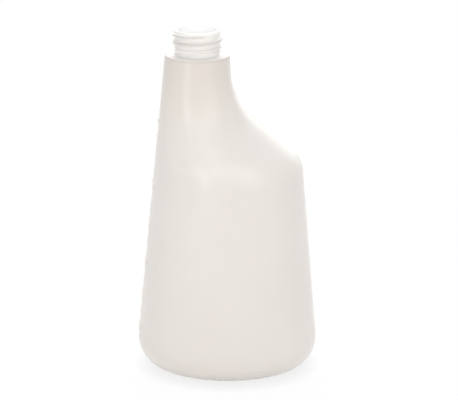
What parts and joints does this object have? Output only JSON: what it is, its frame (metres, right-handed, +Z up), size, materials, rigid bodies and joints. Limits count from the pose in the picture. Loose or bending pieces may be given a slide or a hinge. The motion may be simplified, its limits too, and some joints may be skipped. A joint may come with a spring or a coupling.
{
  "type": "empty spray bottle",
  "caption": "Empty translucent plastic spray bottle with an oval body, an offset threaded neck, a swooped front and a raised scale on its back.",
  "frame": {"origin": "centre of the base, on the surface that the bottle stands on", "axes": "+Z up along the neck, +X to the swooped front, Y across the depth; the bottle is symmetric about the XZ plane apart from its thread"},
  "size_m": [0.1017, 0.0824, 0.1968],
  "materials": {
    "natural_polyethylene": "satin, milky translucent"
  },
  "bodies": {
    "root": {"bottle": "natural_polyethylene"}
  },
  "joints": []
}
